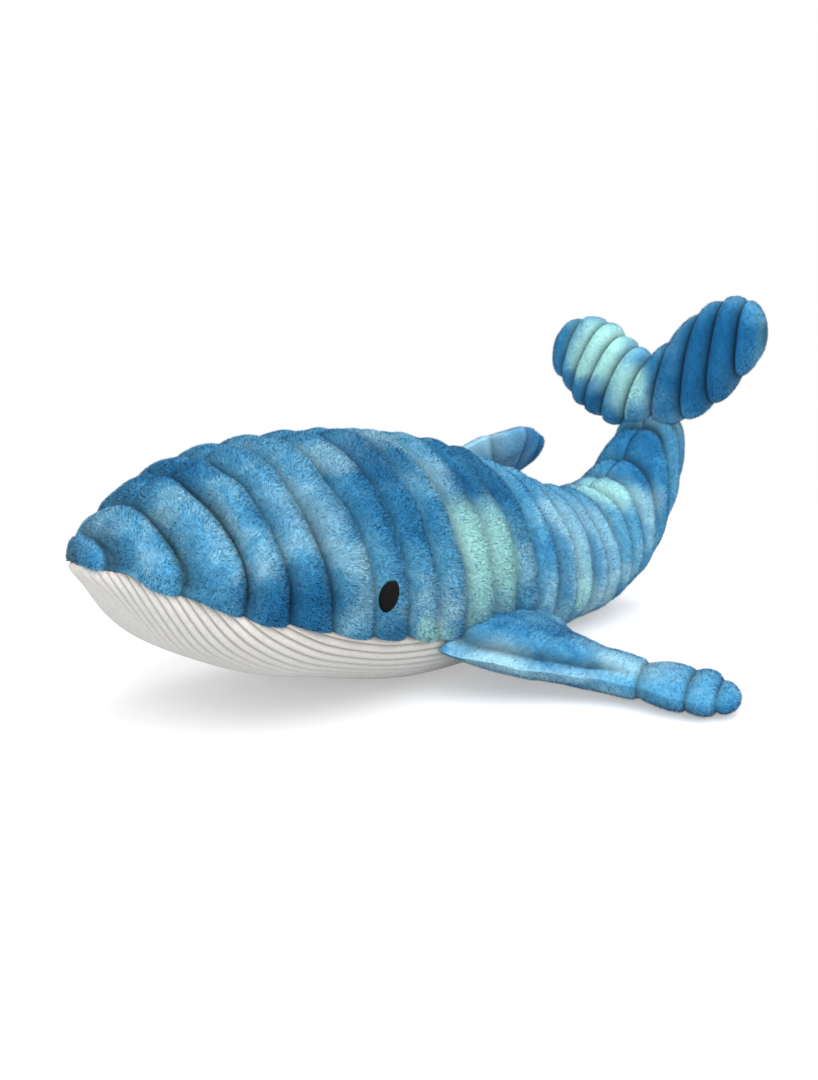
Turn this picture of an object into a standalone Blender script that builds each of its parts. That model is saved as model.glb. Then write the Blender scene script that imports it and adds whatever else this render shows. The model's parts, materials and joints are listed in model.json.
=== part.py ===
"""Plush whale lying on its belly, tail up: fabric panels over soft filling.

Metres, +Z up. The nose points to -X and the whale's left side to -Y. The origin is
on the surface that the belly rests on, on the flat of the belly and its centre line.
"""
import math

import bmesh
import bpy
import numpy as np

# Body
body_length = 0.518
body_width = 0.170
body_height = 0.144
rest_cut = 0.0005

# Fabric
rib_pitch = 0.025
rib_depth = 0.0045
cloth = 0.003
seam_gap = 0.0003
belly_seam_gap = 0.0010
filling_gap = 0.0010

# Eye pads
eye_height = 0.017
eye_width = 0.012
eye_rise = 0.0022
eye_level = 0.0675
eye_tilt_deg = 21

# Pectoral fins
fin_root_chord = 0.118
fin_root_radius = 0.0105
fin_front_level = 0.0280
fin_rear_level = 0.0205
fin_rest_gap = 0.0005
left_fin_span = 0.130
left_fin_rise_degs = (-4, -6, -7)
left_fin_sweep_degs = (0, 12, 14, 14)
right_fin_span = 0.185
right_fin_rise_degs = (46, 132, 143)
right_fin_sweep_degs = (0, 27, 38, 85)

# Tail
fluke_seam_height = 0.139
fluke_span = 0.192
fluke_top_height = 0.2277
fluke_thickness = 0.044
fluke_roll_deg = 3.8
waist_swing_deg = 8
fluke_swing_deg = 15
swing_spare_deg = 0.5

# Places along the body, as shares of its length from the nose
belly_flat_share = 0.458
eye_place_share = 0.233
left_fin_place_share = 0.432
right_fin_place_share = 0.500
waist_share = 0.746
fluke_share = 0.938

# Outline of the body along its length, chosen at these stations
station_shares = [0, .007, .019, .039, .065, .103, .152, .220, .316, .437,
                  .557, .654, .727, .799, .872, .944, 1]
width_shares = [.040, .124, .257, .442, .634, .832, .950, 1, .953, .867,
                .758, .670, .599, .507, .419, .325, .240]
back_shares = [.648, .679, .714, .759, .821, .894, .953, .990, 1, .946,
               .821, .698, .651, .672, .820, 1.130, 1.440]
belly_shares = [.603, .573, .530, .477, .400, .310, .215, .130, .035, 0,
                0, .026, .031, .082, .165, .430, .770]
seam_shares = [.620, .606, .602, .556, .512, .451, .400, .328, .255, .165,
               .087, .057, .052, .090, .165, .430, .770]

# Outline of a fin, as shares of its span and of its root chord and radius
fin_shares = [0, .13, .27, .43, .60, .76, .90, 1]
fin_front_shares = [-.50, -.38, -.26, -.18, -.17, -.20, -.18, -.05]
fin_back_shares = [.50, .36, .25, .18, .17, .20, .18, .05]
fin_thick_shares = [1, .95, .86, .78, .74, .74, .62, .30]

# Outline of a fluke, as shares of its half span, its height and its thickness
fluke_shares = [0, .10, .27, .40, .55, .70, .82, .92, 1]
fluke_upper_shares = [.54, .63, .777, .888, .963, 1, .972, .897, .760]
fluke_lower_shares = [0, 0, 0, .02, .08, .19, .33, .47, .66]
fluke_thick_shares = [.92, .95, 1, 1, .97, .90, .80, .64, .30]

# Roundness of the sections: lower numbers are leaner, higher ones squarer
tip_inset_share = 0.30
last_rib_share = 0.60
full_depth_share = 0.15
edge_inset_share = 1.5
middle_share = 0.42
rounding_shares = [0, .60, .82, .90, 1]
upper_roundness = [1.8, 1.8, 2.1, 3, 3]
lower_roundness = [2.7, 2.7, 2.2, 2.1, 2.1]
pillow_roundness = 2.3
belly_tuck = 4

# Where a rib is full between two grooves, how an eye pad is domed, and mesh counts
shoulder_shares = (.28, .72)
roll_shares = (.97, .64)
eye_ring_shares = [1, 1, .85, .50]
eye_dome_shares = [0, .35, .75, 1]
side_steps = 10
belly_steps = 8
fin_steps = 8
fluke_steps = 9
eye_steps = 16
eye_levels = 9
eye_flat_shares = (-.4, 0, .4)
wall_turns = (-1.2, .9)
wall_steps = 60
root_spots = 13
roll_levels = 17
path_steps = 200
crease_deg = 50
nudge = 0.00013
swing = 0.0035

BLUE = (0.075, 0.275, 0.490, 1)
MINT = (0.400, 0.720, 0.700, 1)
CREAM = (0.720, 0.690, 0.640, 1)
BLACK = (0.006, 0.006, 0.007, 1)
WHITE = (0.850, 0.850, 0.850, 1)


def clear_scene():
    for thing in list(bpy.data.objects):
        bpy.data.objects.remove(thing, do_unlink=True)


def fabric(name, colour, roughness=0.95):
    material = bpy.data.materials.new(name)
    material.use_nodes = True
    shader = material.node_tree.nodes["Principled BSDF"]
    shader.inputs["Base Color"].default_value = colour
    shader.inputs["Roughness"].default_value = roughness
    shader.inputs["Metallic"].default_value = 0
    material.diffuse_color = colour
    return material


def pivot(name, place, parent=None):
    """Empty on a joint's axis."""
    thing = bpy.data.objects.new(name, None)
    thing.empty_display_size = rib_pitch
    bpy.context.scene.collection.objects.link(thing)
    home = parent["home"] if parent else (0, 0, 0)
    thing["home"] = tuple(float(value) for value in place)
    thing.location = np.subtract(place, home)
    thing.parent = parent
    return thing


def follow(shares, values, share):
    """Smooth curve through the values at the given shares."""
    shares = np.asarray(shares, float)
    values = np.asarray(values, float)
    slopes = np.gradient(values, shares)
    share = np.clip(share, shares[0], shares[-1])
    index = np.clip(np.searchsorted(shares, share) - 1, 0, len(shares) - 2)
    step = shares[index + 1] - shares[index]
    part = (share - shares[index]) / step
    rest = 1 - part
    value = rest * rest * (1 + 2 * part) * values[index]
    value = value + part * part * (3 - 2 * part) * values[index + 1]
    value = value + rest * rest * part * step * slopes[index]
    return value - part * part * rest * step * slopes[index + 1]


def rounded(turn, wide, tall, power):
    """Point of a rounded outline in the direction of the turn."""
    across = np.abs(np.cos(turn))
    along = np.abs(np.sin(turn))
    reach = (across ** power + along ** power) ** (-1 / power)
    return wide * reach * np.cos(turn), tall * reach * np.sin(turn)


# The smooth body
def place(share):
    return body_length * (np.asarray(share) - belly_flat_share)


def share_at(x):
    return np.asarray(x) / body_length + belly_flat_share


def half_width(x):
    return body_width / 2 * follow(station_shares, width_shares, share_at(x))


def section(x):
    """Top, middle and bottom of the body at x, with its upper and lower roundness."""
    share = share_at(x)
    top = body_height * follow(station_shares, back_shares, share)
    bottom = body_height * np.maximum(follow(station_shares, belly_shares, share), 0) - rest_cut
    top = np.where(x > waist, np.minimum(top, stock_end(x)), top)
    middle = bottom + middle_share * (top - bottom)
    upper = follow(rounding_shares, upper_roundness, share)
    lower = follow(rounding_shares, lower_roundness, share)
    return top, middle, bottom, upper, lower


def stock_end(x):
    """Height of the tail stock's end, a low ridge under the hinge of the flukes."""
    slope = math.tan(math.radians(fluke_swing_deg + swing_spare_deg))
    return fluke_seam_height - seam_gap / 2 - np.abs(x - float(place(fluke_share))) * slope


def body_point(x, turn):
    """Point of the smooth body; turn runs from -90 degrees (belly) to 90 (back)."""
    top, middle, bottom, upper, lower = section(x)
    power = np.where(turn > 0, upper, lower)
    tall = np.where(turn > 0, top - middle, middle - bottom)
    y, z = rounded(turn, half_width(x), tall, power)
    return np.stack(np.broadcast_arrays(x, y, middle + z), -1)


def body_skin(x, turn, lift):
    """Point that lies a given distance outside the smooth body."""
    safe_turn = np.clip(turn, swing - math.pi / 2, math.pi / 2 - swing)
    lengthwise = body_point(x + nudge, safe_turn) - body_point(x - nudge, safe_turn)
    around = body_point(x, safe_turn + swing) - body_point(x, safe_turn - swing)
    normal = np.cross(around, lengthwise)
    normal /= np.linalg.norm(normal, axis=-1, keepdims=True)
    return body_point(x, turn) + normal * np.asarray(lift)[..., None]


def seam_turn(x):
    """Where the belly panel meets the side panel, as a turn of the section."""
    top, middle, bottom, upper, lower = section(x)
    level = body_height * follow(station_shares, seam_shares, share_at(x))
    drop = np.clip((middle - level) / (middle - bottom), .01, 1)
    across = np.maximum(1 - drop ** lower, 0) ** (1 / lower)
    return -np.arctan2(drop, across)


def groove_places():
    """Grooves lie one rib pitch apart, measured over the side of the whale."""
    places = []
    x = float(place(0))
    step = rib_pitch / path_steps
    run = 0.0
    while x < place(1) - rib_pitch * last_rib_share:
        slope = float(half_width(x + step) - half_width(x)) / step
        run += step * math.hypot(1, slope)
        x += step
        if run >= rib_pitch:
            places.append(x)
            run -= rib_pitch
    return places


nose = float(place(0))
stern = float(place(1))
fluke_place = float(place(fluke_share))
grooves = groove_places()
grooves[np.argmin(np.abs(np.array(grooves) - fluke_place))] = fluke_place
waist = min(grooves, key=lambda x: abs(x - float(place(waist_share))))
waist_level = float(section(waist)[1])
waist_slope = math.tan(math.radians((waist_swing_deg + swing_spare_deg) / 2))
tip_inset = rib_pitch * tip_inset_share


def sink(x):
    """Depth of the grooves, which run out at the small nose and under the flukes."""
    near_nose = half_width(x) / (full_depth_share * body_width)
    near_flukes = (fluke_place - x) / rib_pitch
    return rib_depth * np.clip(np.minimum(near_nose, near_flukes), 0, 1)[:, None]


def rib_rows(edges):
    """Places of the outer rows and how full the rib is there, 0 in a groove."""
    places = [edges[0]]
    fullness = [0.0]
    for low, high in zip(edges, edges[1:]):
        for share in shoulder_shares:
            places.append(low + (high - low) * share)
            fullness.append(1.0)
        places.append(high)
        fullness.append(0.0)
    return np.array(places), np.array(fullness)


def body_edges(start, end):
    return [start] + [x for x in grooves if start < x < end] + [end]


def lining_places(start, end):
    """Rows of the smooth lining: the grooves, drawn in at the nose and the stern."""
    places = np.array(body_edges(start, end))
    if start == nose:
        places[0] += tip_inset
    if end == stern:
        places[-1] -= tip_inset
    return places


def held(points, inset, start, end):
    """Keep points over the resting surface, under the fluke seam and off the waist."""
    x, y, z = points[..., 0], points[..., 1], points[..., 2]
    z = np.maximum(z, inset)
    if start == waist:
        z = np.minimum(z, stock_end(x) - inset)
    slant = seam_gap / 2 + np.abs(z - waist_level) * waist_slope
    if end == waist:
        x = np.minimum(x, waist - slant)
        x[-1] = waist - slant[-1]
    else:
        x = np.maximum(x, waist + slant)
    return np.stack([x, y, z], -1)


def flank_grid(places, lift, inset, start, end):
    """Right side of the body, from the belly seam up to the centre of the back."""
    if end == waist:
        low = (seam_turn(places) + belly_seam_gap / 2 / half_width(places))[:, None]
    else:
        low = np.full((len(places), 1), -math.pi / 2)
    turns = low + (math.pi / 2 - low) * np.linspace(0, 1, side_steps + 1)
    grid = body_skin(places[:, None], turns, lift + 0 * turns)
    grid = held(grid, inset, start, end)
    grid[..., 1] = np.maximum(grid[..., 1], seam_gap / 2)
    return grid


def belly_grid(places, lift, inset, start, end):
    """Underside of the body, from the left belly seam to the right one."""
    part = np.linspace(-1, 1, belly_steps + 1)
    edge = (seam_turn(places) - belly_seam_gap / 2 / half_width(places))[:, None]
    turns = (edge + math.pi / 2) * np.abs(part) - math.pi / 2
    grid = body_skin(places[:, None], turns, lift - sink(places) * part ** belly_tuck)
    grid[..., 1] *= np.sign(part)
    return held(grid, inset, start, end)


# Meshes
def finish(name, vertices, faces, material, parent):
    home = parent["home"] if parent else (0, 0, 0)
    shape = bmesh.new()
    corners = [shape.verts.new(tuple(np.subtract(point, home))) for point in vertices]
    for face in faces:
        shape.faces.new([corners[index] for index in face])
    bmesh.ops.triangulate(shape, faces=shape.faces)
    bmesh.ops.recalc_face_normals(shape, faces=shape.faces)
    if shape.calc_volume(signed=True) < 0:
        bmesh.ops.reverse_faces(shape, faces=shape.faces)
    mesh = bpy.data.meshes.new(name)
    shape.to_mesh(mesh)
    shape.free()
    mesh.shade_smooth()
    mesh.set_sharp_from_angle(angle=math.radians(crease_deg))
    mesh.materials.append(material)
    thing = bpy.data.objects.new(name, mesh)
    thing.parent = parent
    bpy.context.scene.collection.objects.link(thing)
    return thing


def shell(name, outer, inner, matches, material, parent=None):
    """Curved panel between an outer grid and a coarser inner one, closed at its rims.

    Inner row k lies under the outer row matches[k].
    """
    rows, wide = outer.shape[:2]
    base = rows * wide
    faces = []
    for row in range(rows - 1):
        for spot in range(wide - 1):
            here = row * wide + spot
            faces.append((here, here + 1, here + wide + 1, here + wide))
    for row in range(len(inner) - 1):
        for spot in range(wide - 1):
            here = base + row * wide + spot
            faces.append((here, here + wide, here + wide + 1, here + 1))
        middle = (matches[row] + matches[row + 1] + 1) // 2
        for spot in (0, wide - 1):
            inside = (base + row * wide + spot, base + (row + 1) * wide + spot)
            for index in range(matches[row], matches[row + 1]):
                faces.append((index * wide + spot, (index + 1) * wide + spot, inside[index >= middle]))
            faces.append((middle * wide + spot, inside[1], inside[0]))
    last = (rows - 1) * wide
    last_inner = base + (len(inner) - 1) * wide
    for spot in range(wide - 1):
        faces.append((spot, base + spot, base + spot + 1, spot + 1))
        faces.append((last + spot, last + spot + 1, last_inner + spot + 1, last_inner + spot))
    vertices = np.concatenate([outer.reshape(-1, 3), inner.reshape(-1, 3)])
    return finish(name, vertices, faces, material, parent)


def solid(name, rings, material, parent=None):
    """Closed solid through rings of equal counts, with a flat face at each end."""
    count, wide = rings.shape[:2]
    faces = [tuple(range(wide)), tuple(range((count - 1) * wide, count * wide))]
    for row in range(count - 1):
        for spot in range(wide):
            here = row * wide + spot
            beside = row * wide + (spot + 1) % wide
            faces.append((here, beside, beside + wide, here + wide))
    return finish(name, rings.reshape(-1, 3), faces, material, parent)


# Body panels and filling
def side_panel(name, side, start, end, material, parent=None):
    """Panel from the belly seam to the centre of the back, whose ribs fill the outline."""
    places, fullness = rib_rows(body_edges(start, end))
    lining = lining_places(start, end)
    outer = flank_grid(places, (fullness[:, None] - 1) * sink(places), 0, start, end)
    inner = flank_grid(lining, -sink(lining) - cloth, cloth, start, end)
    facing = np.array([1, side, 1])
    matches = range(0, len(places), len(shoulder_shares) + 1)
    return shell(name, outer * facing, inner * facing, matches, material, parent)


def belly_panel(name, start, end, material, parent=None):
    """Pale panel under the whale, between the two side panels."""
    places, _ = rib_rows(body_edges(start, end))
    outer = belly_grid(places, 0, 0, start, end)
    inner = belly_grid(lining_places(start, end), -cloth, cloth, start, end)
    matches = range(0, len(places), len(shoulder_shares) + 1)
    return shell(name, outer, inner, matches, material, parent)


def body_filling(name, start, end, material, parent=None):
    """Wadding that fills the panels, a seam gap inside them."""
    inset = cloth + filling_gap
    places = lining_places(start, end)
    right = flank_grid(places, -sink(places) - inset, inset, start, end)
    left = right[:, ::-1] * np.array([1, -1, 1])
    rings = [right, left]
    if end == waist:
        rings.append(belly_grid(places, -inset, inset, start, end)[:, 1:-1])
    return solid(name, np.concatenate(rings, 1), material, parent)


# Eyes
def eye_pad(name, side, material):
    """Domed oval pad sewn flat on the side of the head."""
    x = float(place(eye_place_share))
    levels = eye_level + eye_height * np.linspace(-.5, .5, eye_levels)
    wall = max(side_wall(x + eye_width * share, level) for level in levels for share in eye_flat_shares)
    tilt = math.radians(eye_tilt_deg)
    rings = []
    for share, rise in zip(eye_ring_shares, eye_dome_shares):
        ring = []
        for step in range(eye_steps):
            angle = math.tau * step / eye_steps
            across = eye_width / 2 * share * math.cos(angle)
            up = eye_height / 2 * share * math.sin(angle)
            ring.append((x + across * math.cos(tilt) + up * math.sin(tilt),
                         side * (wall + seam_gap + eye_rise * rise),
                         eye_level + up * math.cos(tilt) - across * math.sin(tilt)))
        rings.append(ring)
    return solid(name, np.array(rings), material)


def side_wall(x, level):
    """How far the ribs reach sideways at x and at the given height."""
    turns = np.linspace(*wall_turns, wall_steps)
    skin = body_skin(x + 0 * turns, turns, 0 * turns)
    return float(np.interp(level, skin[:, 2], skin[:, 1]))


# Fins
def fin_axis(side):
    """Ends of the fin's root roll, which just clears the ribs along the whole seam."""
    middle = float(place(left_fin_place_share if side < 0 else right_fin_place_share))
    spots = np.linspace(0, 1, root_spots)
    places = middle + fin_root_chord * (spots - .5)
    levels = fin_front_level + (fin_rear_level - fin_front_level) * spots
    reaches = []
    for x, level in zip(places, levels):
        heights = fin_root_radius * np.linspace(-1, 1, roll_levels)
        walls = [side_wall(x, level + rise) for rise in heights]
        reaches.append(max(walls + np.sqrt(fin_root_radius ** 2 - heights ** 2)))
    line = reaches[0] + (reaches[-1] - reaches[0]) * spots
    spare = max(np.array(reaches) - line) + seam_gap
    front = np.array([places[0], side * (line[0] + spare), levels[0]])
    rear = np.array([places[-1], side * (line[-1] + spare), levels[-1]])
    return front, rear


def fin_path(side, span, rise_degs, sweep_degs):
    """Centre line of the fin with its span, chord and thickness directions."""
    front, rear = fin_axis(side)
    along = (rear - front) / np.linalg.norm(rear - front)
    out = np.cross(along, (0, 0, 1)) * -side
    out /= np.linalg.norm(out)
    up = np.cross(out, along) * -side
    up *= np.sign(up[2])
    shares = np.linspace(0, 1, path_steps)
    rise = np.radians(follow([0, .5, 1], rise_degs, shares))[:, None]
    sweep = np.radians(follow([0, .25, .5, 1], sweep_degs, shares))[:, None]
    leaving = out * np.cos(rise) + up * np.sin(rise)
    span_way = leaving * np.cos(sweep) + along * np.sin(sweep)
    chord_way = along * np.cos(sweep) - leaving * np.sin(sweep)
    thick_way = up * np.cos(rise) - out * np.sin(rise)
    steps = span_way * span / (len(shares) - 1)
    line = (front + rear) / 2 + np.cumsum(steps, 0) - steps[0]
    return shares * span, line, span_way, chord_way, thick_way


def fin_grid(path, reaches, fullness, inset, floor, lower):
    """Upper or lower half of a fin, from its front edge to its back edge."""
    spans, line, span_way, chord_way, thick_way = path
    span = spans[-1]
    reaches = np.asarray(reaches)
    radius = fin_root_radius - inset
    thick = fin_root_radius * follow(fin_shares, fin_thick_shares, reaches / span) - inset
    roll = np.sqrt(np.maximum(radius ** 2 - np.minimum(reaches, 0) ** 2, 0))
    thick = np.where(reaches > 0, thick, roll)[:, None] + fullness * rib_depth
    front = fin_root_chord * follow(fin_shares, fin_front_shares, reaches / span) + inset * edge_inset_share
    back = fin_root_chord * follow(fin_shares, fin_back_shares, reaches / span) - inset * edge_inset_share
    turns = np.linspace(math.pi, 0, fin_steps + 1)
    across, above = rounded(turns, ((back - front) / 2)[:, None], thick, pillow_roundness)
    across = across + ((front + back) / 2)[:, None]
    above = np.maximum(above, seam_gap / 2) * (-1 if lower else 1)
    middle = np.stack([np.interp(reaches, spans, line[:, axis]) for axis in range(3)], -1)
    middle += np.minimum(reaches, 0)[:, None] * span_way[0]
    ways = []
    for way in (chord_way, thick_way):
        ways.append(np.stack([np.interp(reaches, spans, way[:, axis]) for axis in range(3)], -1))
    grid = middle[:, None] + ways[0][:, None] * across[..., None] + ways[1][:, None] * above[..., None]
    if floor:
        grid[..., 2] = np.maximum(grid[..., 2], fin_rest_gap + inset)
    return grid


def fin(word, side, span, rise_degs, sweep_degs, floor, materials):
    """Fin of two panels over a filling, rolled round its root seam."""
    front, rear = fin_axis(side)
    hinge = pivot(word + "_fin_pivot", (front + rear) / 2)
    path = fin_path(side, span, rise_degs, sweep_degs)
    lining = np.linspace(0, span, round(span / rib_pitch) + 1)
    places, fullness = rib_rows(lining)
    reaches = np.concatenate([-fin_root_radius * np.array(roll_shares), places])
    fullness = np.concatenate([[0] * len(roll_shares), fullness])[:, None]
    matches = [0] + list(range(len(roll_shares), len(reaches), len(shoulder_shares) + 1))
    lining[-1] -= tip_inset
    for lower, part in ((False, "_fin_upper_panel"), (True, "_fin_lower_panel")):
        outer = fin_grid(path, reaches, fullness, 0, floor, lower)
        inner = fin_grid(path, roll_rows(cloth, lining), 0, cloth, floor, lower)
        shell(word + part, outer, inner, matches, materials[lower], hinge)
    inset = cloth + filling_gap
    upper = fin_grid(path, roll_rows(inset, lining), 0, inset, floor, False)
    lower = fin_grid(path, roll_rows(inset, lining), 0, inset, floor, True)[:, ::-1]
    solid(word + "_fin_filling", np.concatenate([upper, lower], 1), materials[2], hinge)


def roll_rows(inset, lining):
    """Rows of a fin's lining, which starts inside the roll at its root."""
    return np.concatenate([[(inset - fin_root_radius) * roll_shares[-1]], lining])


# Flukes
def fluke_grid(places, fullness, inset, side):
    """Front (-1) or back (+1) half of the flukes, from the root up to the top edge."""
    half_span = fluke_span / 2
    share = np.abs(places) / half_span
    tall = fluke_top_height - fluke_seam_height
    low = fluke_seam_height + tall * follow(fluke_shares, fluke_lower_shares, share) + inset
    high = fluke_seam_height + tall * follow(fluke_shares, fluke_upper_shares, share) - inset
    thick = fluke_thickness / 2 * follow(fluke_shares, fluke_thick_shares, share) - inset
    turns = np.linspace(-math.pi / 2, math.pi / 2, fluke_steps + 1)
    thick = thick - (1 - fullness) * rib_depth
    wide, up = rounded(turns, thick[:, None], ((high - low) / 2)[:, None], pillow_roundness)
    x = fluke_place + side * np.maximum(wide, seam_gap / 2)
    rise = -places * math.tan(math.radians(fluke_roll_deg))
    z = ((low + high) / 2 + rise)[:, None] + up
    z = np.maximum(z, fluke_seam_height + seam_gap / 2 + inset)
    return np.stack(np.broadcast_arrays(x, places[:, None], z), -1)


def flukes(materials, parent):
    """Both flukes in one cushion: a front panel and a back panel over a filling."""
    ribs = 2 * round(fluke_span / 2 / rib_pitch)
    edges = fluke_span * np.linspace(-.5, .5, ribs + 1)
    places, fullness = rib_rows(edges)
    lining = edges.copy()
    lining[0] += tip_inset
    lining[-1] -= tip_inset
    matches = range(0, len(places), len(shoulder_shares) + 1)
    for side, name, material in ((-1, "fluke_top_panel", materials[0]), (1, "fluke_bottom_panel", materials[1])):
        outer = fluke_grid(places, fullness, 0, side)
        inner = fluke_grid(lining, 0 * lining, cloth, side)
        shell(name, outer, inner, matches, material, parent)
    inset = cloth + filling_gap
    front = fluke_grid(lining, 0 * lining, inset, -1)
    back = fluke_grid(lining, 0 * lining, inset, 1)[:, ::-1]
    solid("fluke_filling", np.concatenate([front, back], 1), materials[2], parent)


clear_scene()
blue = fabric("blue_plush", BLUE)
mint = fabric("mint_plush", MINT)
cream = fabric("cream_ribbed_plush", CREAM)
black = fabric("black_felt", BLACK, 0.8)
wadding = fabric("wadding", WHITE)

tail_pivot = pivot("tail_pivot", (waist, 0, waist_level))
fluke_pivot = pivot("fluke_pivot", (fluke_place, 0, fluke_seam_height), tail_pivot)

for word, side in (("left", -1), ("right", 1)):
    side_panel("side_panel_" + word, side, nose, waist, blue)
    side_panel("tail_panel_" + word, side, waist, stern, blue, tail_pivot)
    eye_pad("eye_" + word, side, black)
belly_panel("belly_panel", nose, waist, cream)
body_filling("body_filling", nose, waist, wadding)
body_filling("tail_filling", waist, stern, wadding, tail_pivot)
fin("left", -1, left_fin_span, left_fin_rise_degs, left_fin_sweep_degs, True, (blue, mint, wadding))
fin("right", 1, right_fin_span, right_fin_rise_degs, right_fin_sweep_degs, False, (blue, mint, wadding))
flukes((blue, mint, wadding), fluke_pivot)
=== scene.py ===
import json
import math

import bmesh
import bpy
import numpy as np
from mathutils import Matrix, Vector


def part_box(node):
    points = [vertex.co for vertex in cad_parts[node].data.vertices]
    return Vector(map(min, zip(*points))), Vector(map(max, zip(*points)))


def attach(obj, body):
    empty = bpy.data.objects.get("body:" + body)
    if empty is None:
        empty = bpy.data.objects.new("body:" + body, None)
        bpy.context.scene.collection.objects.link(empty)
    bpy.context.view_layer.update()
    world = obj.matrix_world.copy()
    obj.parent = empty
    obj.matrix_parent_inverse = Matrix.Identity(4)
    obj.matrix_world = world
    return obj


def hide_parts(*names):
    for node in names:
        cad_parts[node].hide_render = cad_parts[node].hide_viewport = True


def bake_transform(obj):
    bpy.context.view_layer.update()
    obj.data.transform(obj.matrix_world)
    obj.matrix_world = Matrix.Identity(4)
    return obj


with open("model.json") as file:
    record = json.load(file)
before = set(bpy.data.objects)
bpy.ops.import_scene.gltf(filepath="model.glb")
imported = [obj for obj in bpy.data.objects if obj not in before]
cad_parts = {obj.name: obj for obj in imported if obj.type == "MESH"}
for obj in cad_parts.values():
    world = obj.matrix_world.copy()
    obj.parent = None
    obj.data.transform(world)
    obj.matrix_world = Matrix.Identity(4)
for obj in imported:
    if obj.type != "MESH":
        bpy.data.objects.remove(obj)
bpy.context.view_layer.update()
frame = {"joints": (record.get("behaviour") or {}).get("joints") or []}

# Camera, floor and light
# The whale lies on a plain pale floor that keeps its shadow. A wide soft lamp overhead and
# an even pale sky light it, and the camera looks down a little past its left cheek.
camera_place = (-0.4260, -0.4221, 0.1744)
camera_azimuth_deg = -43.92
camera_elevation_deg = 9.77
sensor_width_mm = 36.0
lens_mm = 42.0
floor_size = 12.0
floor_colour = (0.70, 0.70, 0.71, 1)
floor_lift = 0.40
floor_fade = (0.50, 0.95)
sky_strength = 0.75
key_place = (-0.45, -0.85, 1.50)
key_target = (0.0, 0.0, 0.08)
key_size = 1.8
key_power = 20.0
fill_place = (-1.10, -1.00, 0.32)
fill_size = 0.9
fill_power = 4.5
rim_place = (0.95, 0.75, 1.10)
rim_size = 0.8
rim_power = 8.0

scene = bpy.context.scene
scene.view_settings.view_transform = "Standard"

lens = bpy.data.cameras.new("photo_camera")
lens.sensor_fit = "HORIZONTAL"
lens.sensor_width = sensor_width_mm
lens.lens = lens_mm
camera = bpy.data.objects.new("photo_camera", lens)
camera.location = camera_place
camera.rotation_euler = (math.radians(90 - camera_elevation_deg), 0, math.radians(camera_azimuth_deg))
scene.collection.objects.link(camera)
scene.camera = camera


def lamp(name, place, size, power):
    light = bpy.data.lights.new(name, "AREA")
    light.shape = "DISK"
    light.size = size
    light.energy = power
    thing = bpy.data.objects.new(name, light)
    thing.location = place
    thing.rotation_euler = (Vector(key_target) - Vector(place)).to_track_quat("-Z", "Y").to_euler()
    scene.collection.objects.link(thing)


lamp("key", key_place, key_size, key_power)
lamp("fill", fill_place, fill_size, fill_power)
lamp("rim", rim_place, rim_size, rim_power)


def node(tree, kind, *inputs, **settings):
    """A node with its first inputs set to values or linked to other nodes' outputs."""
    made = tree.nodes.new(kind)
    for name, value in settings.items():
        setattr(made, name, value)
    for socket, value in zip(made.inputs, inputs):
        if isinstance(value, bpy.types.NodeSocket):
            tree.links.new(value, socket)
        elif value is not None:
            socket.default_value = value
    return made


sky = bpy.data.worlds.new("sky")
sky.use_nodes = True
seen = node(sky.node_tree, "ShaderNodeLightPath").outputs["Is Camera Ray"]
glow = node(sky.node_tree, "ShaderNodeMapRange", seen, 0.0, 1.0, sky_strength, 1.0)
backdrop = sky.node_tree.nodes["Background"]
backdrop.inputs["Color"].default_value = (1, 1, 1, 1)
sky.node_tree.links.new(glow.outputs[0], backdrop.inputs["Strength"])
scene.world = sky

floor_paint = bpy.data.materials.new("floor_paint")
floor_paint.use_nodes = True
tree = floor_paint.node_tree
tree.nodes.clear()
seen = node(tree, "ShaderNodeLightPath").outputs["Is Camera Ray"]
lift = node(tree, "ShaderNodeMath", seen, floor_lift, operation="MULTIPLY").outputs[0]
matte = node(tree, "ShaderNodeBsdfDiffuse", floor_colour).outputs[0]
lifted = node(tree, "ShaderNodeEmission", (1, 1, 1, 1), lift).outputs[0]
lit = node(tree, "ShaderNodeAddShader", matte, lifted).outputs[0]
place = node(tree, "ShaderNodeTexCoord").outputs["Object"]
far = node(tree, "ShaderNodeVectorMath", place, operation="LENGTH").outputs["Value"]
faded = node(tree, "ShaderNodeMapRange", far, *floor_fade, 0.0, 1.0,
             interpolation_type="SMOOTHSTEP").outputs[0]
faded = node(tree, "ShaderNodeMath", faded, seen, operation="MULTIPLY").outputs[0]
white = node(tree, "ShaderNodeEmission", (1, 1, 1, 1), 1.0).outputs[0]
node(tree, "ShaderNodeOutputMaterial", node(tree, "ShaderNodeMixShader", faded, lit, white).outputs[0])

form = bmesh.new()
bmesh.ops.create_grid(form, x_segments=1, y_segments=1, size=floor_size / 2)
sheet = bpy.data.meshes.new("floor")
form.to_mesh(sheet)
form.free()
sheet.materials.append(floor_paint)
floor = bpy.data.objects.new("floor", sheet)
scene.collection.objects.link(floor)

# Side panels
# Two mirrored panels of deep-pile polyester plush, tie-dyed in blues with pale and mint
# clouds, sewn together along the back and to the belly, and stuffed with wadding. The ribs
# run round the whale; each swells towards its rear edge and laps over a narrow groove.
# Painted shade darkens each groove and a painted highlight lightens each rib's rear rim.
DEEP = (0.005, 0.130, 0.330, 1)
BLUE = (0.040, 0.265, 0.520, 1)
SKY = (0.125, 0.430, 0.670, 1)
PALE = (0.420, 0.710, 0.830, 1)
MINT = (0.500, 0.900, 0.850, 1)
dye_stops = ((0.28, DEEP), (0.42, BLUE), (0.53, SKY), (0.68, PALE))
cloud_scale = 12.0
warp_scale = 34.0
warp_reach = 0.030
speck_scale = 520.0
streak_stretch = (0.30, 1.0, 1.0)
streak_drift = (0.012, 0.012, 0.012)
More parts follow.
